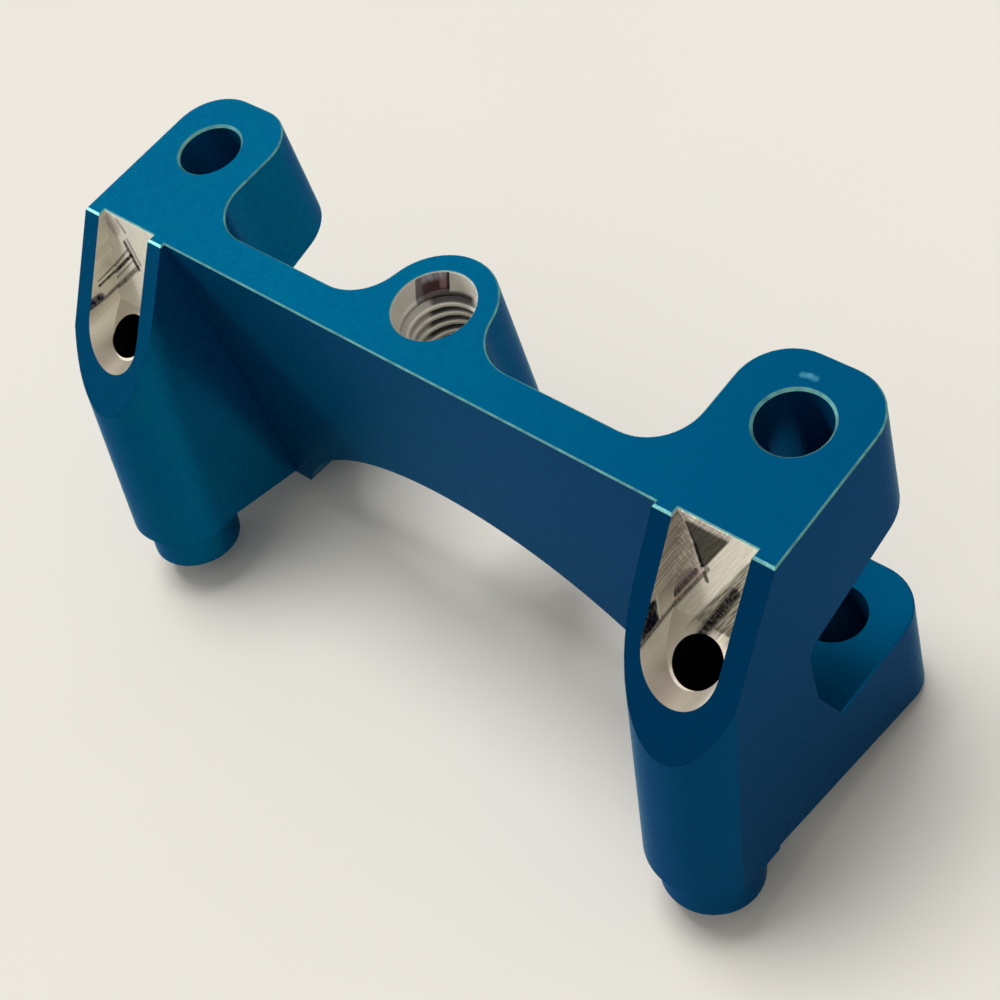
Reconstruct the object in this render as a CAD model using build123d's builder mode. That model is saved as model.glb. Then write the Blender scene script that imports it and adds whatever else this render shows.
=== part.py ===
from build123d import *
from math import cos, radians, sin, tan
import os

os.makedirs("parts", exist_ok=True)

# A bracket milled from one aluminium billet, in millimetres and degrees.
# The origin is the mouth of the centre thread, in the flat top face.
# +X runs along the bar, +Y points back to the ears and +Z points up.

# Plan of the top face
overall_width = 83.0
ear_hole_inset = 6.5
ear_hole_setback = 4.7
ear_width = 13.45
ear_wall = 6.85
bar_setback = 2.8
bar_thickness = 4.05
boss_diameter = 12.1
corner_radius = 5.0

# Sloped underside and the arch under the bar
base_depth = 40.0
base_slope = 16.3
arch_apex_depth = 21.95
arch_radius = 31.3

# Fork gap between each upper and lower ear
gap_roof_depth = 13.85
gap_roof_rise = 9.65
gap_reach = 5.8
gap_roof_radius = 1.5
gap_wall_end_depth = 22.7
gap_floor_depth = 28.85
gap_floor_fall = 3.7
gap_slant_lean = 20.0
gap_overtravel = 1.0

# Legs, their pads and the spigots under them
leg_inset = 5.5
leg_setforward = 10.15
leg_diameter = 12.25
leg_lean = 11.65
leg_end_step = 0.15
pad_step = 0.4
pad_lean = 37.4
spigot_diameter = 9.75
spigot_depth = 40.5
spigot_edge = 0.35

# Screw pocket in each pad, with its seat and bolt hole
pocket_inset = 5.9
pocket_width = 7.55
pocket_setback = 0.75
pocket_floor_lean = 20.0
pocket_end_depth = 12.45
seat_tilt = 30.0
bolt_inset = 5.6
bolt_setforward = 12.6
bolt_depth = 11.2
bolt_hole_diameter = 4.6
bolt_hole_length = 8.0
bolt_drill_point = 118.0

# Holes in the top face
ear_bore_diameter = 6.5
ear_rim = 0.25
thread_diameter = 8.0
thread_rim = 0.1

# Broken edges
edge_break = 0.15

# Places that follow from the sizes above
ear_back_y = ear_hole_setback + ear_wall
bar_back_y = -bar_setback
web_front_y = bar_back_y - bar_thickness
pad_front_y = web_front_y - pad_step
outer_x = overall_width / 2
ear_inner_x = outer_x - ear_width
ear_middle_x = outer_x - ear_width / 2
ear_hole_x = outer_x - ear_hole_inset
leg_x = outer_x - leg_inset
pocket_x = outer_x - pocket_inset
bolt_x = outer_x - bolt_inset
leg_radius = leg_diameter / 2
base_fall = tan(radians(base_slope))
lowest_depth = base_depth + ear_back_y * base_fall
front_reach = leg_setforward + leg_diameter + lowest_depth * tan(radians(leg_lean))

# Distance down a leg at which its back meets the sloped underside, and at which it ends
lean_across = sin(radians(leg_lean))
lean_down = cos(radians(leg_lean))
leg_back_rise = leg_radius * (base_fall * lean_down - lean_across)
leg_back_end = (base_depth - base_fall * leg_setforward + leg_back_rise) / (lean_down + base_fall * lean_across)
leg_end = leg_back_end + leg_end_step

# Lengths that cutters overrun by, and the tolerances that pick edges
clear = corner_radius
position_tolerance = 0.01
angle_tolerance = 0.0001


def plane_leaning(origin, angle):
    """A plane whose normal is +Z turned by the angle towards +Y, about X."""
    normal = (0, sin(radians(angle)), cos(radians(angle)))
    return Plane(origin=origin, x_dir=(1, 0, 0), z_dir=normal)


# Cutter shape of the fork gap, drawn in the side view
def roof_height(y):
    return y * tan(radians(gap_roof_rise)) - gap_roof_depth


def floor_height(y):
    return -gap_floor_depth - y * tan(radians(gap_floor_fall))


slant_run = (gap_floor_depth - gap_wall_end_depth) * tan(radians(gap_slant_lean))
gap_slant_y = slant_run - gap_reach
gap_mouth_y = ear_back_y + clear
gap_depth_x = ear_width + gap_overtravel + clear

with BuildPart() as gap_cutter:
    with BuildSketch(Plane.YZ.offset(ear_inner_x - gap_overtravel)) as gap_profile:
        with BuildLine():
            Polyline(
                (gap_mouth_y, roof_height(gap_mouth_y)),
                (-gap_reach, roof_height(-gap_reach)),
                (-gap_reach, -gap_wall_end_depth),
                (gap_slant_y, floor_height(gap_slant_y)),
                (gap_mouth_y, floor_height(gap_mouth_y)),
                close=True,
            )
        make_face()
        roof_corner = gap_profile.vertices().group_by(Axis.X)[0].sort_by(Axis.Y)[-1]
        fillet(roof_corner, gap_roof_radius)
    extrude(amount=gap_depth_x)

# Cutter shape of the screw pocket: a steep floor, a seat square to the bolt, and a round lower end
seat_rise = tan(radians(seat_tilt))
floor_run = tan(radians(pocket_floor_lean))
pocket_back_y = pad_front_y + pocket_setback
seat_height = -bolt_depth + seat_rise * (pocket_back_y + bolt_setforward)
pocket_knee_z = seat_height / (1 - seat_rise * floor_run)
pocket_knee_y = pocket_back_y + pocket_knee_z * floor_run
pocket_radius = pocket_width / 2
pocket_front_y = -front_reach

with BuildPart() as pocket_cutter:
    with BuildSketch(Plane.YZ.offset(pocket_x - pocket_width / 2)):
        with BuildLine():
            Polyline(
                (pocket_back_y + clear * floor_run, clear),
                (pocket_knee_y, pocket_knee_z),
                (pocket_front_y, pocket_knee_z + seat_rise * (pocket_front_y - pocket_knee_y)),
                (pocket_front_y, clear),
                close=True,
            )
        make_face()
    extrude(amount=pocket_width)
    with BuildSketch(Plane.XZ.offset(front_reach)) as pocket_front:
        with Locations((pocket_x, pocket_radius - pocket_end_depth)):
            Circle(pocket_radius)
            Rectangle(pocket_width, pocket_end_depth + clear, align=(Align.CENTER, Align.MIN))
    extrude(amount=-2 * front_reach, mode=Mode.INTERSECT)

with BuildPart() as bracket:
    # Bar, centre boss and the two ears, as one outline taken straight down
    with BuildSketch(Plane.XY) as plan:
        with Locations((0, web_front_y)):
            Rectangle(overall_width, bar_thickness, align=(Align.CENTER, Align.MIN))
        with Locations((-ear_middle_x, web_front_y), (ear_middle_x, web_front_y)):
            Rectangle(ear_width, ear_back_y - web_front_y, align=(Align.CENTER, Align.MIN))
        Circle(boss_diameter / 2)
        inner_corners = plan.vertices().filter_by_position(
            Axis.Y, bar_back_y - position_tolerance, bar_back_y + position_tolerance
        )
        fillet(inner_corners, corner_radius)
        fillet(plan.vertices().group_by(Axis.Y)[-1], corner_radius)
    extrude(amount=-lowest_depth - clear)

    # Arch under the bar, between the ears
    with BuildSketch(Plane.XZ) as arch:
        with Locations((0, -arch_apex_depth - arch_radius)):
            Circle(arch_radius)
        Rectangle(2 * ear_inner_x, 2 * (lowest_depth + clear), mode=Mode.INTERSECT)
    extrude(amount=front_reach, both=True, mode=Mode.SUBTRACT)

    # Legs with a round front, leaning forward as they go down
    for side in (-1, 1):
        leg_plane = plane_leaning((side * leg_x, -leg_setforward, 0), leg_lean)
        leg_back = leg_setforward + web_front_y + base_depth * tan(radians(leg_lean)) + bar_thickness
        with BuildSketch(leg_plane):
            Circle(leg_radius)
            Rectangle(leg_diameter, leg_back, align=(Align.CENTER, Align.MIN))
        extrude(amount=lowest_depth + clear, both=True)

    # The flat top, the sloped pads and the sloped underside
    split(bisect_by=Plane.XY, keep=Keep.BOTTOM)
    split(bisect_by=plane_leaning((0, pad_front_y, 0), pad_lean - 90), keep=Keep.BOTTOM)
    split(bisect_by=plane_leaning((0, 0, -base_depth), base_slope), keep=Keep.TOP)

    # Leg ends, square to the legs and standing a step below the sloped underside
    for side in (-1, 1):
        leg_plane = plane_leaning((side * leg_x, -leg_setforward, 0), leg_lean)
        with BuildSketch(leg_plane.offset(-leg_end)):
            Circle(leg_radius)
        extrude(amount=leg_diameter)
    for side in (-1, 1):
        split(bisect_by=Plane(origin=(side * outer_x, 0, 0), z_dir=(side, 0, 0)), keep=Keep.BOTTOM)

    # Spigots, in line with the legs
    spigot_length = spigot_depth / lean_down
    for side in (-1, 1):
        leg_plane = plane_leaning((side * leg_x, -leg_setforward, 0), leg_lean)
        with BuildSketch(leg_plane.offset(-spigot_length)):
            Circle(spigot_diameter / 2)
        extrude(amount=spigot_length / 2)

    # Fork gaps and screw pockets, the same on both sides
    add(gap_cutter.part, mode=Mode.SUBTRACT)
    add(gap_cutter.part.mirror(Plane.YZ), mode=Mode.SUBTRACT)
    add(pocket_cutter.part, mode=Mode.SUBTRACT)
    add(pocket_cutter.part.mirror(Plane.YZ), mode=Mode.SUBTRACT)

    # Blind bolt holes square to their seats, each with the cone that a drill leaves
    bolt_radius = bolt_hole_diameter / 2
    drill_point_depth = bolt_radius / tan(radians(bolt_drill_point / 2))
    for side in (-1, 1):
        seat_plane = plane_leaning((side * bolt_x, -bolt_setforward, -bolt_depth), -seat_tilt)
        with Locations(seat_plane):
            Hole(bolt_radius, depth=bolt_hole_length)
        with Locations(seat_plane.offset(-bolt_hole_length - drill_point_depth / 2)):
            Cone(0, bolt_radius, drill_point_depth, mode=Mode.SUBTRACT)

    # Pin holes through both ears of each fork, and the threaded hole through the boss
    with Locations((-ear_hole_x, ear_hole_setback), (ear_hole_x, ear_hole_setback)):
        Hole(ear_bore_diameter / 2)
    Hole(thread_diameter / 2)

    # Rounded ends of the spigots
    leg_normal = plane_leaning((0, 0, 0), leg_lean).z_dir
    flat_faces = bracket.faces().filter_by(GeomType.PLANE)
    end_faces = flat_faces.filter_by(lambda face: face.normal_at().dot(leg_normal) < angle_tolerance - 1)
    for face in end_faces.sort_by(Axis.Z)[:2]:
        fillet(face.edges(), spigot_edge)

    # Rims of the holes in the top face
    top_face = bracket.faces().sort_by(Axis.Z)[-1]
    round_rims = top_face.edges().filter_by(GeomType.CIRCLE).filter_by(lambda edge: edge.is_closed)
    thread_mouth = round_rims.sort_by(Axis.Y)[0]
    chamfer(round_rims.sort_by(Axis.Y)[1:], ear_rim)
    chamfer(thread_mouth, thread_rim)

    # Broken edges round the top face and, on each side, round the fork gap and along the underside
    top_face = bracket.faces().sort_by(Axis.Z)[-1]
    chamfer(top_face.outer_wire().edges(), edge_break)
    for side in (0, -1):
        side_face = bracket.faces().filter_by(Axis.X).sort_by(Axis.X)[side]
        inner_edges = side_face.edges().filter_by_position(Axis.Y, -gap_reach - edge_break, ear_back_y)
        gap_mouth = inner_edges.filter_by_position(Axis.Z, floor_height(ear_back_y) - clear, clear - gap_roof_depth)
        underside_edge = side_face.edges().sort_by(Axis.Z)[0]
        chamfer(gap_mouth + [underside_edge], edge_break)

bracket.part.label = "bracket"
export_step(bracket.part, "parts/bracket.step")
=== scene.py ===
"""Looks of a milled, blue anodised aluminium bracket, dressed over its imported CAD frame."""

import logging
from dataclasses import dataclass
from enum import Enum
from functools import partial, reduce
from math import cos, hypot, radians, sin

import bpy
import numpy as np
from mathutils import Matrix, Vector


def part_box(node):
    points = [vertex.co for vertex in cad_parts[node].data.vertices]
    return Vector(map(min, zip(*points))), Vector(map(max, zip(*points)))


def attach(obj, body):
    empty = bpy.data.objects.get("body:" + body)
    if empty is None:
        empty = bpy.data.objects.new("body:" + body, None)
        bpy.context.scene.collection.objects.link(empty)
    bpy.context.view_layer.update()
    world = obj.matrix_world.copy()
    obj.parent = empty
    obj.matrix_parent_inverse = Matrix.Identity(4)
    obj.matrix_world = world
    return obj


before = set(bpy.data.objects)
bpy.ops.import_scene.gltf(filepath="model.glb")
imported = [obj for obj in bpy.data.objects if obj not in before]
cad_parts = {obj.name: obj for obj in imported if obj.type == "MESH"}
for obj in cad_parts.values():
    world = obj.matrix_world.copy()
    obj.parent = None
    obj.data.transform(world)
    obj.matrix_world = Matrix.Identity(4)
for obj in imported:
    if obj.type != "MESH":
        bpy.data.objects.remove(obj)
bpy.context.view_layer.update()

log = logging.getLogger("bracket")

MM = 0.001
UP = (0.0, 0.0, 1.0)
FRONT = (0.0, -1.0, 0.0)
NOISE_SPAN = (0.35, 0.65)

Socket = bpy.types.NodeSocket
Number = float | Socket
Pair = tuple[float, float]
Place = tuple[float, float, float]
Colour = tuple[float, float, float]


def linear(red: float, green: float, blue: float) -> Colour:
    """Turns a screen colour from 0 to 255 into the linear colour that shaders use.

    Args:
        red: Red on the screen.
        green: Green on the screen.
        blue: Blue on the screen.

    Returns:
        The linear colour: a straight line in the dark toe, and the power 2.4 above it.
    """
    share = np.array((red, green, blue), float) / 255.0
    toe = share / 12.92
    curve = ((share + 0.055) / 1.055) ** 2.4
    return tuple(float(v) for v in np.where(share <= 0.04045, toe, curve))


class Side(Enum):
    """A half of the bracket, as the places along X where its mask is 0 and 1, in millimetres."""

    LEFT = (1.0, -1.0)
    RIGHT = (-1.0, 1.0)


class Passage(Enum):
    """How a value goes from one end of a span to the other."""

    EVEN = "LINEAR"
    SMOOTH = "SMOOTHSTEP"


class NodeGraph:
    """Adds nodes to one node tree, of a material or of the room."""

    def __init__(self, tree: bpy.types.NodeTree) -> None:
        """Starts with an empty tree.

        Args:
            tree: The node tree.
        """
        self.nodes = tree.nodes
        self.links = tree.links
        self.nodes.clear()

    def add(self, kind: str, **settings: str) -> bpy.types.Node:
        """Adds one node.

        Args:
            kind: The node's type, without the ShaderNode that it starts with.
            settings: The node's own settings, by name.

        Returns:
            The node.
        """
        node = self.nodes.new(f"ShaderNode{kind}")
        for name, value in settings.items():
            setattr(node, name, value)
        return node

    def feed(self, socket: Socket, value: Number | Place) -> None:
        """Links a socket to another, or sets it when the value is plain.

        Args:
            socket: The input that is fed.
            value: An output, a number, a vector or a colour.
        """
        if isinstance(value, Socket):
            self.links.new(value, socket)
        elif socket.type == "RGBA":
            socket.default_value = (*value, 1.0)
        else:
            socket.default_value = value

    def math(self, operation: str, first: Number, second: Number = 0.0) -> Socket:
        """Adds one Math node.

        Args:
            operation: The node's operation.
            first: Its first value.
            second: Its second value, where it has one.

        Returns:
            The result's socket.
        """
        node = self.add("Math", operation=operation)
        self.feed(node.inputs[0], first)
        self.feed(node.inputs[1], second)
        return node.outputs[0]

    def vector(self, operation: str, first: Socket, second: Place) -> Socket:
        """Adds one Vector Math node.

        Args:
            operation: The node's operation.
            first: Its first vector.
            second: Its second vector.

        Returns:
            The result's socket, the value for DOT_PRODUCT and the vector otherwise.
        """
        node = self.add("VectorMath", operation=operation)
        self.feed(node.inputs[0], first)
        self.feed(node.inputs[1], second)
        return node.outputs["Value" if operation == "DOT_PRODUCT" else "Vector"]

    def parts(self, vector: Socket) -> tuple[Socket, ...]:
        """The three coordinates of a vector.

        Args:
            vector: The vector.

        Returns:
            The sockets of X, Y and Z.
        """
        node = self.add("SeparateXYZ")
        self.feed(node.inputs[0], vector)
        return tuple(node.outputs)

    def total(self, *values: Number) -> Socket:
        """The sum of values."""
        return reduce(partial(self.math, "ADD"), values)

    def both(self, *masks: Socket) -> Socket:
        """The product of masks, which is 1 only where all of them are."""
        return reduce(partial(self.math, "MULTIPLY"), masks)

    def either(self, *masks: Socket) -> Socket:
        """The largest of masks."""
        return reduce(partial(self.math, "MAXIMUM"), masks)

    def weigh(self, first: Number, second: Number, weights: Pair) -> Socket:
        """The sum of two values, each times its own weight."""
        shares = (self.math("MULTIPLY", value, by) for value, by in zip((first, second), weights))
        return self.total(*shares)

    def remap(self, value: Number, start: Pair, end: Pair, passage: Passage) -> Socket:
        """Carries a value from one span to another, and keeps it inside that.

        Args:
            value: The value.
            start: The span that it comes from, the lower end first.
            end: The span that it goes to.
            passage: How it goes from one end to the other.

        Returns:
            The new value's socket.
        """
        node = self.add("MapRange", interpolation_type=passage.value)
        self.feed(node.inputs["Value"], value)
        for name, limit in zip(("From Min", "From Max", "To Min", "To Max"), (*start, *end)):
            self.feed(node.inputs[name], limit)
        return node.outputs["Result"]

    def ramp(self, value: Number, none: float, full: float) -> Socket:
        """A smooth step from 0 at the first limit to 1 at the second, which may be the lower."""
        end = (0.0, 1.0) if none < full else (1.0, 0.0)
        return self.remap(value, (min(none, full), max(none, full)), end, Passage.SMOOTH)

    def within(self, distance: Number, size: float, outer: float, inner: float = 0.0) -> Socket:
        """1 within a size and 0 beyond it, with a rim between two distances past the size."""
        return self.ramp(distance, size + outer, size + inner)

    def seen(self) -> Socket:
        """Mask of the rays that see the pale background: camera, glossy and transmission."""
        ray = self.add("LightPath").outputs
        return self.either(ray["Is Camera Ray"], ray["Is Glossy Ray"], ray["Is Transmission Ray"])


class FinishGraph(NodeGraph):
    """Builds one material, and holds the point in millimetres that its patterns are drawn on."""

    noise_rough: float = 0.55
    lane_rough: float = 0.5
    lane_detail: float = 2.0

    def __init__(self, name: str) -> None:
        """Starts the material.

        Args:
            name: The material's name.
        """
        self.material = bpy.data.materials.new(name)
        self.material.use_nodes = True
        super().__init__(self.material.node_tree)
        self.shader = self.add("BsdfPrincipled")
        self.feed(self.add("OutputMaterial").inputs["Surface"], self.shader.outputs["BSDF"])
        place = self.add("TexCoord").outputs["Object"]
        self.point = self.vector("MULTIPLY", place, (1.0 / MM, 1.0 / MM, 1.0 / MM))
        self.x, self.y, self.z = self.parts(self.point)
        self.reach = self.math("ABSOLUTE", self.x)

    def side(self, side: Side) -> Socket:
        """Mask of one half of the bracket."""
        return self.ramp(self.x, *side.value)

    def height(self, through: Place, normal: Place) -> Socket:
        """Signed distance from a plane: the point along the normal, less the plane's own distance.

        Args:
            through: A point on the plane, in millimetres.
            normal: The plane's unit normal.

        Returns:
            The distance's socket, positive on the normal's side.
        """
        along = self.vector("DOT_PRODUCT", self.point, normal)
        return self.math("SUBTRACT", along, sum(a * b for a, b in zip(through, normal)))

    def disc(self, across: Number, along: Number) -> Socket:
        """Distance from a point, as the root of the squares of the distances across and along."""
        squares = (self.math("POWER", distance, 2.0) for distance in (across, along))
        return self.math("SQRT", self.total(*squares))

    def lerp(self, share: Number, low: Number, high: Number) -> Socket:
        """A value that goes from low to high as the share goes from 0 to 1.

        Args:
            share: The share.
            low: The value at 0.
            high: The value at 1.

        Returns:
            The value's socket.
        """
        node = self.add("Mix")
        for name, value in zip(("Factor", "A", "B"), (share, low, high)):
            self.feed(node.inputs[name], value)
        return node.outputs["Result"]

    def tint(self, share: Number, under: Socket | Colour, over: Socket | Colour) -> Socket:
        """Lays one colour over another.

        Args:
            share: How much of the upper colour shows.
            under: The lower colour.
            over: The upper colour.

        Returns:
            The mixed colour's socket.
        """
        node = self.add("Mix", data_type="RGBA")
        lower, upper = (socket for socket in node.inputs if socket.type == "RGBA")
        self.feed(node.inputs[0], share)
        self.feed(lower, under)
        self.feed(upper, over)
        return next(socket for socket in node.outputs if socket.type == "RGBA")

    def grains(self, place: Socket, scale: float, detail: float, rough: float) -> Socket:
        """Adds one Noise Texture node.

        Args:
            place: The point that it reads.
            scale: How many grains there are to a unit of that point.
            detail: How many finer layers it has.
            rough: How strong the finer layers are.

        Returns:
            The noise's socket, mostly within NOISE_SPAN.
        """
        node = self.add("TexNoise")
        names = ("Vector", "Scale", "Detail", "Roughness")
        for name, value in zip(names, (place, scale, detail, rough)):
            self.feed(node.inputs[name], value)
        return node.outputs["Fac"]

    def noise(self, size: float, detail: float = 3.0, stretch: Place = (1.0, 1.0, 1.0)) -> Socket:
        """Noise with grains of a size in millimetres, closer along an axis by its stretch."""
        place = self.vector("MULTIPLY", self.point, stretch)
        return self.grains(place, 1.0 / size, detail, self.noise_rough)

    def lanes(self, across: Number, along: Number, size: Pair) -> Socket:
        """Noise drawn out into lanes, as a cutter leaves them, spread from 0 to 1.

        Args:
            across: Distance across the lanes, in millimetres.
            along: Distance along the lanes, in millimetres.
            size: A lane's width and length.

        Returns:
            The lanes' socket.
        """
        place = self.add("CombineXYZ")
        for socket, distance, length in zip(place.inputs, (across, along), size):
            self.feed(socket, self.math("DIVIDE", distance, length))
        noise = self.grains(place.outputs[0], 1.0, self.lane_detail, self.lane_rough)
        return self.spread(noise, 0.0, 1.0)

    def spread(self, noise: Socket, low: float, high: float) -> Socket:
        """Noise drawn out from its usual span to run from low to high."""
        return self.remap(noise, NOISE_SPAN, (low, high), Passage.EVEN)

    def facing(self, direction: Place) -> Socket:
        """How far the surface faces a direction, from -1 to 1."""
        return self.vector("DOT_PRODUCT", self.add("NewGeometry").outputs["Normal"], direction)

    def emboss(self, relief: Socket, depth: float, strength: float) -> None:
        """Turns a relief into bump on the shader.

        Args:
            relief: The relief's height, from 0 to 1.
            depth: The relief's depth in millimetres.
            strength: The bump's share.
        """
        bump = self.add("Bump")
        for name, value in zip(("Height", "Distance", "Strength"), (relief, depth * MM, strength)):
            self.feed(bump.inputs[name], value)
        self.feed(self.shader.inputs["Normal"], bump.outputs["Normal"])

    def set(self, **values: Number | Colour) -> None:
        """Feeds the shader's own sockets, named with underscores for spaces."""
        for name, value in values.items():
            self.feed(self.shader.inputs[name.replace("_", " ")], value)


@dataclass(frozen=True)
class PhotoCamera:
    """The camera of the photograph, in millimetres, degrees and pixels of its square frame."""

    eye: Place = (94.785, -58.604, 113.941)
    azimuth: float = 58.283
    elevation: float = 50.017
    roll: float = -23.201
    focal_pixels: float = 1798.743
    centre_pixels: Pair = (487.513, 432.015)
    frame_pixels: float = 1000.0
    sensor: float = 36.0
    clip_from: float = 10.0

    def add(self) -> bpy.types.Object:
        """Puts the camera in the scene: its axes are its direction crossed with up, then rolled.

        Returns:
            The camera.
        """
        turn, rise, tip = radians(self.azimuth), radians(self.elevation), radians(self.roll)
        back = Vector((sin(turn) * cos(rise), -cos(turn) * cos(rise), sin(rise)))
        level = Vector(UP).cross(back).normalized()
        upright = back.cross(level)
        right = cos(tip) * level + sin(tip) * upright
        up = cos(tip) * upright - sin(tip) * level
        data = bpy.data.cameras.new("photo_camera")
        data.sensor_width = self.sensor
        data.lens = self.focal_pixels * self.sensor / self.frame_pixels
        half = self.frame_pixels / 2
        data.shift_x = (half - self.centre_pixels[0]) / self.frame_pixels
        data.shift_y = (self.centre_pixels[1] - half) / self.frame_pixels
        data.clip_start = self.clip_from * MM
        camera = bpy.data.objects.new("photo_camera", data)
        axes = Matrix((right, up, back)).transposed().to_4x4()
        camera.matrix_world = Matrix.Translation(Vector(self.eye) * MM) @ axes
        bpy.context.scene.collection.objects.link(camera)
        bpy.context.scene.camera = camera
        return camera


@dataclass(frozen=True)
class SoftLamp:
    """A sun lamp that lights only its own pieces, while every piece still throws its shadow.

    It has a name, the direction from the bracket to it, its strength, and its width in degrees.
    """

    name: str
    toward: Place
    strength: float
    width: float

    def hang(self, lit: list[bpy.types.Object]) -> None:
        """Puts the lamp in the scene.

        Args:
            lit: The pieces that it lights.
        """
        data = bpy.data.lights.new(self.name, "SUN")
        data.energy = self.strength
        data.angle = radians(self.width)
        lamp = bpy.data.objects.new(self.name, data)
        lamp.rotation_euler = Vector(self.toward).to_track_quat("Z", "Y").to_euler()
        bpy.context.scene.collection.objects.link(lamp)
        receivers = bpy.data.collections.new(f"lit_by_{self.name}")
        for piece in lit:
            receivers.objects.link(piece)
        lamp.light_linking.receiver_collection = receivers


@dataclass(frozen=True)
class Studio:
    """A pale sheet under the bracket, a pale room with a window at the left, and two soft lamps."""

    sheet_colour: Colour = linear(238, 234, 225)
    sheet_bounce: Colour = linear(84, 82, 79)
    sheet_cloud: Colour = (0.985, 0.983, 0.978)
    sheet_half: float = 1500.0
    cloud_size: float = 60.0
    tooth_size: float = 0.4
    tooth_depth: float = 0.02
    tooth_share: float = 0.3
    sheet_rough: float = 0.9
    sheet_specular: float = 0.1
    room_tone: Colour = (1.0, 0.985, 0.96)
    wall_light: float = 0.03
    ceiling_light: float = 0.55
    window_light: float = 1.5
    window_from: Place = (-0.925, -0.293, 0.243)
    window_rim: Pair = (0.92, 0.97)
    sheet_lamp: SoftLamp = SoftLamp("top_lamp", (-0.20, 0.10, 0.975), 1.82, 27.0)
    bracket_lamp: SoftLamp = SoftLamp("side_lamp", (-0.66, -0.18, 0.73), 2.5, 12.0)

    def add(self, pieces: list[bpy.types.Object]) -> None:
        """Builds the sheet, the room and the two lamps, one for the sheet and one for the bracket.

        Args:
            pieces: The bracket's pieces.
        """
        sheet = self.lay_sheet(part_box("bracket")[0].z)
        self.light_room()
        self.sheet_lamp.hang([sheet])
        self.bracket_lamp.hang(pieces)
        bpy.context.scene.view_settings.view_transform = "Standard"

    def paper(self) -> bpy.types.Material:
        """Builds the sheet's material, pale to the rays that see it and darker to bounced light.

        Returns:
            The material.
        """
        graph = FinishGraph("pale_paper")
        cloudy = tuple(v * share for v, share in zip(self.sheet_colour, self.sheet_cloud))
        clouds = graph.spread(graph.noise(self.cloud_size), 0.0, 1.0)
        pale = graph.tint(clouds, self.sheet_colour, cloudy)
        graph.set(
            Base_Color=graph.tint(graph.seen(), self.sheet_bounce, pale),
            Roughness=self.sheet_rough,
            Specular_IOR_Level=self.sheet_specular,
        )
        graph.emboss(graph.noise(self.tooth_size, 4.0), self.tooth_depth, self.tooth_share)
        return graph.material

    def lay_sheet(self, level: float) -> bpy.types.Object:
        """Lays the sheet at the bracket's lowest point.

        Args:
            level: The height of the sheet in metres.

        Returns:
            The sheet.
        """
        half = self.sheet_half * MM
        corners = [(x * half, y * half, level) for x, y in ((-1, -1), (1, -1), (1, 1), (-1, 1))]
        mesh = bpy.data.meshes.new("paper_sheet")
        mesh.from_pydata(corners, [], [(0, 1, 2, 3)])
        mesh.materials.append(self.paper())
        sheet = bpy.data.objects.new("paper_sheet", mesh)
        bpy.context.scene.collection.objects.link(sheet)
        return sheet

    def light_room(self) -> None:
        """Lights from all round: walls, a ceiling that grows with its height's sine, and a window.

        Camera, glossy and transmission rays see the sheet's colour instead.
        """
        world = bpy.data.worlds.new("pale_room")
        world.use_nodes = True
        graph = NodeGraph(world.node_tree)
        toward = graph.add("TexCoord").outputs["Generated"]
        rise = graph.math("MAXIMUM", graph.parts(toward)[2], 0.0)
        ceiling = graph.math("MULTIPLY", rise, self.ceiling_light)
        close = graph.vector("DOT_PRODUCT", toward, self.window_from)
        window = graph.math("MULTIPLY", graph.ramp(close, *self.window_rim), self.window_light)
        light, shown, mix = (graph.add(kind) for kind in ("Background", "Background", "MixShader"))
        graph.feed(light.inputs["Color"], self.room_tone)
        graph.feed(light.inputs["Strength"], graph.total(ceiling, window, self.wall_light))
        graph.feed(shown.inputs["Color"], self.sheet_colour)
        for socket, value in zip(mix.inputs, (graph.seen(), light.outputs[0], shown.outputs[0])):
            graph.feed(socket, value)
        graph.feed(graph.add("OutputWorld").inputs["Surface"], mix.outputs[0])
        bpy.context.scene.world = world


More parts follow.
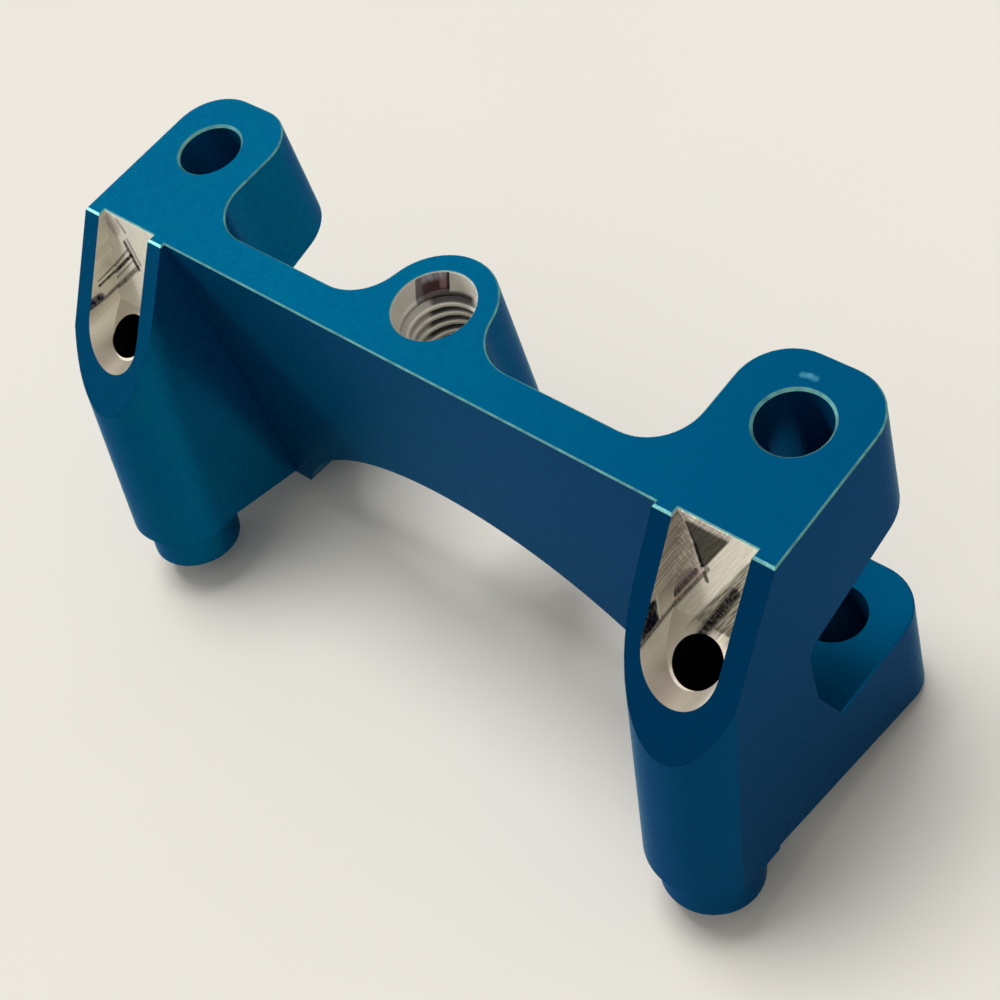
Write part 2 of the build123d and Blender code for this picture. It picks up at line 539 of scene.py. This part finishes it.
@dataclass(frozen=True)
class PadPocket:
    """Sizes of the screw pockets in millimetres, as the solid has them, and rims of their masks."""

    middle: float = 35.6
    half_width: float = 3.775
    round_level: float = -8.675
    pad_point: Place = (0.0, -7.25, 0.0)
    pad_normal: Place = (0.0, -0.794415, 0.607376)
    floor_point: Place = (0.0, -6.5, 0.0)
    floor_normal: Place = (0.0, -0.939693, 0.342020)
    seat_point: Place = (0.0, -12.6, -11.2)
    seat_normal: Place = (0.0, -0.5, 0.866025)
    bolt_middle: float = 35.9
    bolt_radius: float = 2.3
    bolt_depth: float = 9.6
    outline_rim: Pair = (0.05, 0.02)
    bolt_rim: Pair = (0.06, 0.03)
    pad_rim: Pair = (-0.01, -0.03)
    ground_rim: Pair = (-0.06, -0.03)
    bolt_end: float = 0.1

    def inside(self, graph: FinishGraph) -> Socket:
        """Mask of the pockets' own walls.

        Args:
            graph: The material that the mask is for.

        Returns:
            1 within the U-shaped outline, below the pad, and above the floor and the seat.
        """
        across = graph.math("SUBTRACT", graph.reach, self.middle)
        below = graph.math("MINIMUM", graph.math("SUBTRACT", graph.z, self.round_level), 0.0)
        return graph.both(
            graph.within(graph.disc(across, below), self.half_width, *self.outline_rim),
            graph.ramp(graph.height(self.pad_point, self.pad_normal), *self.pad_rim),
            graph.ramp(graph.height(self.floor_point, self.floor_normal), *self.ground_rim),
            graph.ramp(graph.height(self.seat_point, self.seat_normal), *self.ground_rim),
        )

    def bolt_hole(self, graph: FinishGraph) -> Socket:
        """Mask of the bolt holes.

        Args:
            graph: The material that the mask is for.

        Returns:
            1 within the radius of the holes' axes, from the seat down to the holes' ends.
        """
        across = graph.math("SUBTRACT", graph.reach, self.bolt_middle)
        along = graph.height(self.seat_point, (0.0, self.seat_normal[2], -self.seat_normal[1]))
        depth = graph.height(self.seat_point, self.seat_normal)
        return graph.both(
            graph.within(graph.disc(across, along), self.bolt_radius, *self.bolt_rim),
            graph.ramp(depth, *self.ground_rim[::-1]),
            graph.ramp(depth, -self.bolt_depth, -self.bolt_depth + self.bolt_end),
        )

    def on_pad(self, graph: FinishGraph, outer: float, inner: float) -> Socket:
        """Mask of the points closer to the pads' plane than the outer distance."""
        height = graph.height(self.pad_point, self.pad_normal)
        return graph.ramp(graph.math("ABSOLUTE", height), outer, inner)


@dataclass(frozen=True)
class MarkedFace:
    """A face with marks: its mask, and the distances across and along it in millimetres."""

    where: Socket
    across: Socket
    along: Socket


@dataclass(frozen=True)
class Mark:
    """A straight mark on a face, in millimetres on that face.

    It has its middle line's ends, half its width, the fade of its rim, how much it covers, its
    colour, and the size of the patches that wear it and how far they change what it covers.
    """

    start: Pair
    end: Pair
    half: float
    soft: float
    share: float
    colour: Colour
    patch: float = 0.35
    patch_span: Pair = (0.75, 1.1)

    def stroke(self, graph: FinishGraph, face: MarkedFace) -> Socket:
        """Mask of the mark's straight stroke.

        Args:
            graph: The material.
            face: The face that the mark is on.

        Returns:
            1 on the stroke and 0 off it: the distance from the middle line where the point's share
            of the line lies between 0 and 1, and from the nearer end where it doesn't.
        """
        run = (self.end[0] - self.start[0], self.end[1] - self.start[1])
        length = hypot(*run)
        unit = (run[0] / length, run[1] / length)
        right = graph.math("SUBTRACT", face.across, self.start[0])
        ahead = graph.math("SUBTRACT", face.along, self.start[1])
        on = graph.weigh(right, ahead, unit)
        off = graph.weigh(ahead, right, (unit[0], -unit[1]))
        held = graph.math("MINIMUM", graph.math("MAXIMUM", on, 0.0), length)
        past = graph.math("SUBTRACT", on, held)
        return graph.within(graph.disc(off, past), self.half, self.soft)

    def lay(self, graph: FinishGraph, under: Socket, face: MarkedFace) -> Socket:
        """Lays the mark over a colour.

        Args:
            graph: The material.
            under: The colour below the mark.
            face: The face that the mark is on.

        Returns:
            The marked colour's socket.
        """
        low, high = (self.share * end for end in self.patch_span)
        worn = graph.math("MINIMUM", graph.spread(graph.noise(self.patch), low, high), 1.0)
        covered = graph.both(self.stroke(graph, face), face.where, worn)
        return graph.tint(covered, under, self.colour)


@dataclass(frozen=True)
class BareCut:
    """Bright metal that the cutter left in the pockets, in lanes, with painted reflections, shade
    and highlights over it that differ by side.

    Each pair of numbers is where a mask is 0 and where it is 1, and each size is a lane's width
    and length. Lines are in millimetres of the floor, as distance from the middle and height.
    """

    cream: Colour = linear(246, 240, 226)
    dim: Colour = linear(196, 188, 172)
    # Colours of the painted reflections in the shiny metal of the pockets.
    mauve: Colour = linear(166, 146, 148)
    plum: Colour = linear(88, 70, 78)
    blush: Colour = linear(226, 200, 190)
    slate: Colour = linear(96, 92, 82)
    # Painted shade: the seat and the round lower end are toned down where the light falls on them.
    seat: Colour = linear(208, 198, 184)
    lower_end_shade: Colour = linear(160, 150, 137)
    # Painted reflection: the darkest streaks.
    reflected_black: Colour = linear(30, 26, 28)
    # Painted shadow on the right pocket's inner wall.
    wall_shadow: Colour = linear(14, 16, 34)
    night: Colour = linear(10, 14, 60)
    # Painted reflections: the hatched zone and the dark wedge.
    hatch_rose: Colour = linear(212, 194, 186)
    hatch_grey: Colour = linear(156, 148, 134)
    dark_reflection_grey: Colour = linear(70, 66, 58)
    lane_way: Pair = (0.863, -0.505)
    lane_size: Pair = (0.16, 2.2)
    cross_size: Pair = (0.20, 1.1)
    before_band: Pair = (1.46, 1.26)
    behind_band: Pair = (3.35, 3.65)
    behind_foot: Pair = (-10.6, -9.4)
    dark_reflection_way: Pair = (0.886, 0.463)
    dark_reflection_edge: Pair = (-3.08, -2.93)
    dark_reflection_top: Pair = (-0.45, -0.9)
    wall_edge: Pair = (3.70, 3.74)
    wall_foot: Pair = (-9.0, -7.0)
    lane_share: float = 0.35
    end_facing: Pair = (0.35, 1.0)
    seat_facing: Pair = (0.96, 0.99)

    def right_marks(self) -> tuple[Mark, ...]:
        """Draws the painted reflections on the right pocket's floor.

        Returns:
            The marks, placed by distance from the pocket's middle and height.
        """
        return (
            Mark((-2.9, -1.0), (-1.9, -2.6), 0.07, 0.12, 0.7, self.reflected_black),
            Mark((-1.9, -2.6), (-0.6, -5.4), 0.13, 0.14, 0.95, self.reflected_black),
            Mark((-0.6, -4.2), (-3.7, -9.5), 0.12, 0.18, 0.85, self.slate),
            Mark((-1.0, -4.4), (-3.7, -9.0), 0.08, 0.10, 0.9, self.blush),
            Mark((-1.7, -5.0), (-3.7, -8.4), 0.14, 0.25, 0.9, self.plum),
            Mark((-2.4, -5.4), (-3.7, -7.6), 0.10, 0.25, 0.7, self.mauve),
            Mark((-0.4, -10.2), (2.1, -5.1), 0.20, 0.50, 1.0, self.reflected_black),
            Mark((1.7, -9.4), (3.3, -6.2), 0.10, 0.25, 0.6, self.slate),
            Mark((-1.4, -12.6), (-0.9, -11.9), 0.10, 0.30, 0.5, self.mauve),
        )

    def left_marks(self) -> tuple[Mark, ...]:
        """Draws the painted reflections on the left pocket's floor.

        Returns:
            The marks, placed by distance from the pocket's middle and height.
        """
        return (
            Mark((0.9, -3.3), (3.7, -6.1), 0.07, 0.12, 0.75, self.slate),
            Mark((0.4, -3.7), (3.7, -6.75), 0.11, 0.12, 0.95, self.reflected_black),
            Mark((0.2, -4.2), (3.7, -7.5), 0.04, 0.10, 0.6, self.slate),
            Mark((-0.35, -4.8), (2.3, -7.2), 0.12, 0.25, 0.8, self.slate),
            Mark((2.3, -7.2), (3.7, -8.4), 0.12, 0.20, 0.8, self.slate),
            Mark((1.2, -2.7), (-0.4, -4.9), 0.16, 0.25, 0.9, self.reflected_black),
            Mark((0.7, -2.2), (-0.8, -4.3), 0.08, 0.25, 0.6, self.slate),
            Mark((3.4, -0.9), (2.6, -1.5), 0.55, 0.6, 0.6, self.mauve),
            Mark((2.0, -0.5), (0.9, -1.4), 0.10, 0.2, 0.6, self.slate),
        )

    def left_wall_marks(self) -> tuple[Mark, ...]:
        """Draws the painted reflections on the left pocket's outer wall: the floor's streaks
        carried on, and a dark blue patch.

        Returns:
            The marks, placed by depth and height.
        """
        return (
            Mark((-8.5, -6.1), (-11.0, -6.15), 0.06, 0.12, 0.75, self.slate),
            Mark((-8.5, -6.75), (-11.2, -6.7), 0.10, 0.12, 0.9, self.reflected_black),
            Mark((-8.5, -8.4), (-11.4, -8.4), 0.12, 0.20, 0.8, self.slate),
            Mark((-11.9, -7.9), (-13.2, -7.7), 0.40, 0.35, 0.95, self.night),
        )

    def right_wall_marks(self) -> tuple[Mark, ...]:
        """Draws the right pocket's inner wall: two dark patches of painted shadow, and a thin
        painted highlight at its corner with the floor.

        Returns:
            The marks, placed by depth and height.
        """
        return (
            Mark((-12.3, -7.2), (-14.0, -11.0), 0.75, 0.35, 1.0, self.wall_shadow),
            Mark((-12.5, -8.6), (-11.9, -10.3), 0.6, 0.4, 1.0, self.wall_shadow),
            # A thin painted highlight at the wall's corner with the floor.
            Mark((-11.2, -6.5), (-11.8, -10.2), 0.11, 0.06, 1.0, self.cream),
        )

    def plain(self, graph: FinishGraph, fine: Socket, pocket: PadPocket) -> Socket:
        """Builds the colour of the band, the seat and the lower end.

        Args:
            graph: The material.
            fine: The fine lanes, from 0 to 1.
            pocket: The pocket's sizes.

        Returns:
            The colour's socket: faint lanes, with painted shade where the metal faces up and on the
            seat.
        """
        metal = graph.tint(graph.math("MULTIPLY", fine, self.lane_share), self.cream, self.dim)
        # Painted shade on the round lower end, which faces up, and on the seat.
        at_end = graph.ramp(graph.facing(UP), *self.end_facing)
        on_seat = graph.ramp(graph.facing(pocket.seat_normal), *self.seat_facing)
        return graph.tint(on_seat, graph.tint(at_end, metal, self.lower_end_shade), self.seat)

    def colour(self, graph: FinishGraph, pocket: PadPocket) -> Socket:
        """Builds the metal's colour.

        Args:
            graph: The material.
            pocket: The pocket's sizes.

        Returns:
            The colour's socket: painted reflections over the cutter's lanes, which are a plain band
            between two parallel lines, lanes beside it, a dark wedge and the marks, with a painted
            shadow and highlight on the right pocket's inner wall.
        """
        across = graph.math("SUBTRACT", graph.reach, pocket.middle)
        left, right = graph.side(Side.LEFT), graph.side(Side.RIGHT)
        off_middle = graph.math("ABSOLUTE", across)
        wall = graph.ramp(off_middle, *self.wall_edge)
        flat = graph.ramp(off_middle, *self.wall_edge[::-1])
        outer_wall = graph.both(left, wall, graph.ramp(across, 0.0, 1.0))
        inner_wall = graph.both(right, wall, graph.ramp(across, 0.0, -1.0))
        right_floor = graph.both(right, flat)

        lane = graph.weigh(across, graph.z, self.lane_way)
        ahead = graph.weigh(graph.z, across, (self.lane_way[0], -self.lane_way[1]))
        fine = graph.lanes(lane, ahead, self.lane_size)
        cross = graph.lanes(ahead, lane, self.cross_size)
        rose = graph.tint(fine, self.hatch_rose, self.cream)
        grey = graph.tint(fine, self.hatch_grey, self.dim)

        # Painted reflections: a band between two lines, hatches before it, a dark wedge and a dull
        # zone behind it.
        before = graph.both(graph.ramp(lane, *self.before_band), right_floor)
        behind = graph.both(graph.ramp(lane, *self.behind_band), right_floor)
        behind = graph.both(behind, graph.ramp(graph.z, *self.behind_foot))
        dark_reflection = graph.ramp(graph.weigh(across, graph.z, self.dark_reflection_way), *self.dark_reflection_edge)
        dark_reflection = graph.both(before, dark_reflection, graph.ramp(graph.z, *self.dark_reflection_top))
        hatched = graph.either(before, graph.both(inner_wall, graph.ramp(graph.z, *self.wall_foot)))

        metal = graph.tint(hatched, self.plain(graph, fine, pocket), graph.tint(cross, rose, grey))
        metal = graph.tint(dark_reflection, metal, graph.tint(fine, self.dark_reflection_grey, self.slate))
        metal = graph.tint(behind, metal, graph.tint(fine, self.dim, self.slate))
        # Painted reflections as straight streaks on the floors and the left wall, and painted
        # shadow and highlight on the right wall.
        marked = (
            (MarkedFace(right_floor, across, graph.z), self.right_marks()),
            (MarkedFace(graph.both(left, flat), across, graph.z), self.left_marks()),
            (MarkedFace(outer_wall, graph.y, graph.z), self.left_wall_marks()),
            (MarkedFace(inner_wall, graph.y, graph.z), self.right_wall_marks()),
        )
        for face, marks in marked:
            for mark in marks:
                metal = mark.lay(graph, metal, face)
        return metal


@dataclass(frozen=True)
class AnodisedBlue:
    """Satin blue anodising over milled aluminium, with broken edges worn lighter, and painted
    shade on the pads, on faces that look forward, towards the right and in the bolt holes.

    Sizes are in millimetres. Each span is where a mask is 0 and where it is 1, or the least and
    the most that a noise gives. Metallic is for the anodised and for the bare metal.
    """

    blue: Colour = linear(0, 110, 156)
    teal: Colour = linear(0, 116, 150)
    deep: Colour = linear(0, 88, 140)
    # Painted shade: the blue turns to this colour towards the right, where the light falls off.
    far: Colour = linear(0, 88, 132)
    # Painted shade on the pads and on faces that look forward.
    painted_shade_blue: Colour = linear(0, 54, 92)
    grain_shade: Colour = linear(0, 60, 100)
    edge: Colour = linear(120, 184, 178)
    # Painted shadow: the colour of the bolt holes' dark inside.
    bolt_hole_shadow: Colour = linear(22, 19, 17)
    sheen: Colour = (0.06, 0.42, 0.64)
    scratches: tuple[Mark, ...] = (
        Mark((32.98, 8.94), (33.5, 9.12), 0.08, 0.32, 0.6, linear(84, 166, 190)),
        Mark((33.6, 9.13), (34.15, 9.10), 0.08, 0.34, 0.5, linear(84, 166, 200)),
    )
    pocket: PadPocket = PadPocket()
    cut: BareCut = BareCut()
    cloud_size: float = 7.0
    cloud_span: Pair = (0.0, 0.55)
    speck_size: float = 0.7
    speck_span: Pair = (-0.1, 0.34)
    grain_size: float = 0.22
    grain_span: Pair = (0.0, 0.2)
    grain_depth: float = 0.012
    grain_share: float = 0.5
    wear_size: float = 1.3
    wear_span: Pair = (0.5, 1.0)
    right_shade_span: Pair = (-20.0, 44.0)
    pad_rim: Pair = (0.06, 0.03)
    pad_shade_shares: Pair = (0.6, 1.0)
    front_facing: Pair = (0.2, 0.9)
    front_shade_share: float = 0.3
    top_rim: Pair = (-0.02, -0.005)
    edge_break: Pair = (-0.165, -0.155)
    slanted: Pair = (0.96, 0.93)
    ear_hole: Pair = (35.0, 4.7)
    ear_rim: float = 3.55
    ear_rim_depth: Pair = (-0.26, -0.24)
    thread_radius: float = 4.03
    round_rim: float = 0.02
    metallic: Pair = (0.5, 0.45)
    satin_span: Pair = (0.24, 0.32)
    bare_rough: float = 0.5
    specular: float = 0.012

    def edges(self, graph: FinishGraph) -> Socket:
        """Mask of the broken edges.

        Args:
            graph: The material.

        Returns:
            1 where the surface is slanted, near the top face or the rims of the ears' holes.
        """
        at_top = graph.ramp(graph.z, *self.edge_break)
        rim_x = graph.math("SUBTRACT", graph.reach, self.ear_hole[0])
        rim_y = graph.math("SUBTRACT", graph.y, self.ear_hole[1])
        at_rim = graph.within(graph.disc(rim_x, rim_y), self.ear_rim, self.round_rim)
        at_rim = graph.both(at_rim, graph.ramp(graph.z, *self.ear_rim_depth))
        slanted = graph.ramp(graph.facing(UP), *self.slanted)
        return graph.both(graph.either(at_top, at_rim), slanted)

    def paint(self, graph: FinishGraph, grain: Socket) -> Socket:
        """Builds the colour of the anodised faces.

        Args:
            graph: The material.
            grain: The fine grain's noise.

        Returns:
            The colour's socket: clouds and specks of tone, painted shade towards the right, on the
            pads and on faces that look forward, with the fine grain and the scratches over them.
        """
        clouds = graph.spread(graph.noise(self.cloud_size), *self.cloud_span)
        specks = graph.spread(graph.noise(self.speck_size), *self.speck_span)
        # Painted shade on the pads, darker on the right pad than on the left.
        sides = graph.lerp(graph.side(Side.RIGHT), *self.pad_shade_shares)
        pads = graph.both(self.pocket.on_pad(graph, *self.pad_rim), sides)
        # Painted shade on faces that look forward.
        front_shade = graph.ramp(graph.facing(FRONT), *self.front_facing)
        colour = graph.tint(clouds, self.blue, self.teal)
        colour = graph.tint(specks, colour, self.deep)
        # Painted shade: the blue darkens towards the right, as the light falls off.
        colour = graph.tint(graph.ramp(graph.x, *self.right_shade_span), colour, self.far)
        colour = graph.tint(pads, colour, self.painted_shade_blue)
        colour = graph.tint(graph.math("MULTIPLY", front_shade, self.front_shade_share), colour, self.painted_shade_blue)
        colour = graph.tint(graph.spread(grain, *self.grain_span), colour, self.grain_shade)
        top = MarkedFace(graph.ramp(graph.z, *self.top_rim), graph.x, graph.y)
        for scratch in self.scratches:
            colour = scratch.lay(graph, colour, top)
        return colour

    def make(self) -> bpy.types.Material:
        """Builds the material of the milled body.

        Returns:
            The material, anodised except in the pockets and the threaded hole, with a painted
            shadow in the bolt holes.
        """
        graph = FinishGraph("anodised_blue")
        grain = graph.noise(self.grain_size)
        centre = graph.disc(graph.x, graph.y)
        thread = graph.within(centre, self.thread_radius, self.round_rim)
        bare = graph.either(self.pocket.inside(graph), thread)
        wear = graph.spread(graph.noise(self.wear_size, 4.0), *self.wear_span)
        worn = graph.both(self.edges(graph), wear)
        colour = graph.tint(worn, self.paint(graph, grain), self.edge)
        colour = graph.tint(bare, colour, self.cut.colour(graph, self.pocket))
        # Painted shadow: the bolt holes are coloured near black.
        colour = graph.tint(self.pocket.bolt_hole(graph), colour, self.bolt_hole_shadow)
        satin = graph.spread(grain, *self.satin_span)
        graph.set(
            Base_Color=colour,
            Metallic=graph.lerp(bare, *self.metallic),
            Roughness=graph.lerp(bare, satin, self.bare_rough),
            Specular_IOR_Level=self.specular,
            Specular_Tint=self.sheen,
        )
        graph.emboss(grain, self.grain_depth, self.grain_share)
        return graph.material


@dataclass(frozen=True)
class BareThread:
    """Bright cut aluminium of the thread, with painted shade in the grooves and a painted shadow
    patch on the smooth wall.

    Sizes and levels are in millimetres, and each pair of them is where a mask is 0 and where it
    is 1. The shadow patch's places run round the wall, from its middle, and drift with the height.
    """

    bright: Colour = linear(252, 248, 238)
    worn: Colour = linear(222, 214, 200)
    # Painted highlight: the pink at the right of the wall's shadow patch.
    pink_highlight: Colour = linear(168, 128, 134)
    # Painted shade, darkest in the grooves and in the wall's shadow patch.
    painted_dark: Colour = linear(34, 30, 27)
    # Painted shadow: the patch's dark red.
    patch_red: Colour = linear(92, 60, 66)
    pale: Colour = linear(214, 206, 220)
    grey: Colour = linear(128, 122, 124)
    groove_radii: Pair = (3.36, 3.60)
    groove_start: Pair = (0.1, -0.4)
    groove_shares: Pair = (0.45, 1.0)
    shaded_side_from: Pair = (-0.16, 0.04)
    shaded_side_to: Pair = (0.86, 0.72)
    shaded_side_drift: float = -0.085
    streak_size: float = 0.8
    streak_stretch: Place = (1.0, 1.0, 6.0)
    streak_share: float = 0.35
    patch_streak_size: float = 0.45
    patch_streak_stretch: Place = (1.0, 1.0, 0.12)
    shadow_patch_ahead: Place = (-0.644, 0.765, 0.0)
    shadow_patch_aside: Place = (0.765, 0.644, 0.0)
    shadow_patch_side: Pair = (0.0, 0.1)
    shadow_patch_way: Pair = (3.86, -0.2532)
    shadow_patch_from: Pair = (-1.78, -1.68)
    shadow_patch_to: Pair = (1.39, 1.33)
    shadow_patch_foot: Pair = (-0.8, -0.5)
    pink_from: Pair = (0.3, 0.6)
    pink_to: Pair = (1.2, 1.0)
    pink_foot: Pair = (-2.6, -1.8)
    pale_foot: Pair = (-1.3, -0.5)
    grey_to: Pair = (-0.9, -1.4)
    dark_from: Pair = (1.05, 1.15)
    cut_size: float = 0.15
    cut_stretch: Place = (1.0, 1.0, 5.0)
    cut_depth: float = 0.008
    cut_share: float = 0.4
    metallic: float = 0.15
    rough: float = 0.35
    specular: float = 1.0

    def shadow_patch(self, graph: FinishGraph, place: Socket) -> Socket:
        """Builds the colour of the painted shadow patch.

        Args:
            graph: The material.
            place: The place round the wall.

        Returns:
            The colour's socket: a painted shadow with dark streaks, a painted pink highlight at the
            right, pale on top and grey at the left.
        """
        patch_streaks = graph.spread(graph.noise(self.patch_streak_size, 2.0, self.patch_streak_stretch), 0.0, 1.0)
        # Painted highlight in pink, inside the painted shadow patch.
        pink_highlight = graph.both(graph.ramp(place, *self.pink_from), graph.ramp(place, *self.pink_to))
        pink_highlight = graph.both(pink_highlight, graph.ramp(graph.z, *self.pink_foot))
        colour = graph.tint(pink_highlight, graph.tint(patch_streaks, self.patch_red, self.painted_dark), self.pink_highlight)
        pale = graph.tint(patch_streaks, self.pale, self.grey)
        colour = graph.tint(graph.ramp(graph.z, *self.pale_foot), colour, pale)
        colour = graph.tint(graph.ramp(place, *self.grey_to), colour, self.grey)
        return graph.tint(graph.ramp(place, *self.dark_from), colour, self.painted_dark)

    def make(self, smooth_above: float) -> bpy.types.Material:
        """Builds the material.

        Args:
            smooth_above: The level above which the wall has no grooves, in millimetres.

        Returns:
            The material, with painted shade that darkens the grooves towards their bottom, most on
            one side of the hole.
        """
        graph = FinishGraph("bare_thread")
        radius = graph.disc(graph.x, graph.y)
        ways = (graph.vector("DOT_PRODUCT", graph.point, way)
                for way in (self.shadow_patch_ahead, self.shadow_patch_aside))
        ahead, aside = (graph.math("DIVIDE", way, radius) for way in ways)
        start, foot = (tuple(smooth_above + level for level in levels)
                       for levels in (self.groove_start, self.shadow_patch_foot))

        # Painted shade: the grooves darken towards their bottom, fully on one side of the hole.
        opened = graph.weigh(aside, graph.z, (1.0, self.shaded_side_drift))
        shaded_side = graph.both(graph.ramp(opened, *self.shaded_side_from), graph.ramp(aside, *self.shaded_side_to))
        shade = graph.both(
            graph.ramp(radius, *self.groove_radii),
            graph.ramp(graph.z, *start),
            graph.lerp(shaded_side, *self.groove_shares),
        )
        # Painted shadow patch on the smooth wall, with a painted pink highlight in it.
        place = graph.weigh(aside, graph.z, self.shadow_patch_way)
        on_shadow_patch = graph.both(
            graph.ramp(ahead, *self.shadow_patch_side),
            graph.ramp(place, *self.shadow_patch_from),
            graph.ramp(place, *self.shadow_patch_to),
            graph.ramp(graph.z, *foot),
        )
        streaks = graph.noise(self.streak_size, stretch=self.streak_stretch)
        streaks = graph.spread(streaks, 0.0, self.streak_share)
        colour = graph.tint(streaks, self.bright, self.worn)
        colour = graph.tint(on_shadow_patch, colour, self.shadow_patch(graph, place))
        graph.set(
            Base_Color=graph.tint(shade, colour, self.painted_dark),
            Metallic=self.metallic,
            Roughness=self.rough,
            Specular_IOR_Level=self.specular,
        )
        cuts = graph.noise(self.cut_size, 2.0, self.cut_stretch)
        graph.emboss(cuts, self.cut_depth, self.cut_share)
        return graph.material


@dataclass(frozen=True)
class CentreThread:
    """The cut thread of the centre hole, with a smooth lead-in above it, in millimetres.

    The flats of the ridge and the groove and the growth at its start are in turns.
    """

    major_radius: float = 3.985
    shell_radius: float = 3.996
    minor_radius: float = 3.324
    pitch: float = 1.25
    ridge_flat: float = 0.25
    groove_flat: float = 0.125
    growth: float = 0.8
    mouth: float = -0.12
    lead_in: float = -2.35
    end: float = -21.9
    columns: int = 96
    rows_per_turn: int = 18

    def profile(self, turn: np.ndarray) -> np.ndarray:
        """Height of the thread's ridge at a share of its turn.

        Args:
            turn: Places along the axis, in turns.

        Returns:
            0 on the groove's flat, 1 on the ridge's flat, and a straight line between them.
        """
        away = np.abs(np.mod(turn, 1.0) - 0.5) * 2.0
        bottom = 1.0 - self.groove_flat
        return np.clip((bottom - away) / (bottom - self.ridge_flat), 0.0, 1.0)

    def surface(self) -> tuple[np.ndarray, np.ndarray]:
        """Points and faces of the threaded sleeve, a ring of rows down inside and back up outside.

        Returns:
            The points and the faces. The inner radius is the major radius less the thread's depth
            times the ridge's height at the level in pitches less the angle in turns, and the ridge
            grows from nothing below the lead-in.
        """
        rows = int((self.mouth - self.end) / self.pitch * self.rows_per_turn)
        levels = np.linspace(self.mouth, self.end, rows)[:, None]
        angles = np.linspace(0.0, 2 * np.pi, self.columns, endpoint=False)[None, :]
        grown = np.clip((self.lead_in - levels) / (self.growth * self.pitch), 0.0, 1.0)
        ridge = self.profile(levels / self.pitch - angles / (2 * np.pi)) * grown
        inner = self.major_radius - (self.major_radius - self.minor_radius) * ridge
        outer = np.full((2, self.columns), self.shell_radius)
        radii = np.vstack((inner, outer))
        heights = np.vstack((levels, levels[-1:], levels[:1])) + 0.0 * angles
        points = np.stack((radii * np.cos(angles), radii * np.sin(angles), heights), axis=-1)
        row, column = np.meshgrid(np.arange(rows + 2), np.arange(self.columns), indexing="ij")
        down, on = (row + 1) % (rows + 2), (column + 1) % self.columns
        corner_rows = np.stack((row, down, down, row), -1)
        corner_columns = np.stack((on, on, column, column), -1)
        faces = corner_rows * self.columns + corner_columns
        return points.reshape(-1, 3) * MM, faces.reshape(-1, 4)

    def add(self) -> bpy.types.Object:
        """Builds the thread, dresses it and lets it ride with the bracket.

        Returns:
            The thread.
        """
        points, faces = self.surface()
        mesh = bpy.data.meshes.new("centre_thread")
        mesh.from_pydata(points.tolist(), [], faces.tolist())
        mesh.polygons.foreach_set("use_smooth", np.ones(len(faces), bool))
        mesh.materials.append(BareThread().make(self.lead_in))
        thread = bpy.data.objects.new("centre_thread", mesh)
        bpy.context.scene.collection.objects.link(thread)
        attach(thread, "root")
        return thread


@dataclass(frozen=True)
class MilledBody:
    """The one-piece body, which keeps its solid's mesh and gets the anodised finish."""

    node: str = "bracket"

    def dress(self) -> bpy.types.Object:
        """Gives every material slot of the body the anodised finish.

        Returns:
            The body.
        """
        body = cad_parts[self.node]
        finish = AnodisedBlue().make()
        if not body.material_slots:
            body.data.materials.append(finish)
        for slot in body.material_slots:
            slot.material = finish
        return body


def main() -> None:
    """Builds the scene piece by piece."""
    logging.basicConfig(level=logging.INFO, format="%(name)s: %(message)s")
    log.info("camera %s", PhotoCamera().add().name)
    body = MilledBody().dress()
    log.info("body %s", body.name)
    thread = CentreThread().add()
    log.info("thread %s", thread.name)
    Studio().add([body, thread])
    log.info("sheet, room and lamps")


if __name__ == "__main__":
    main()
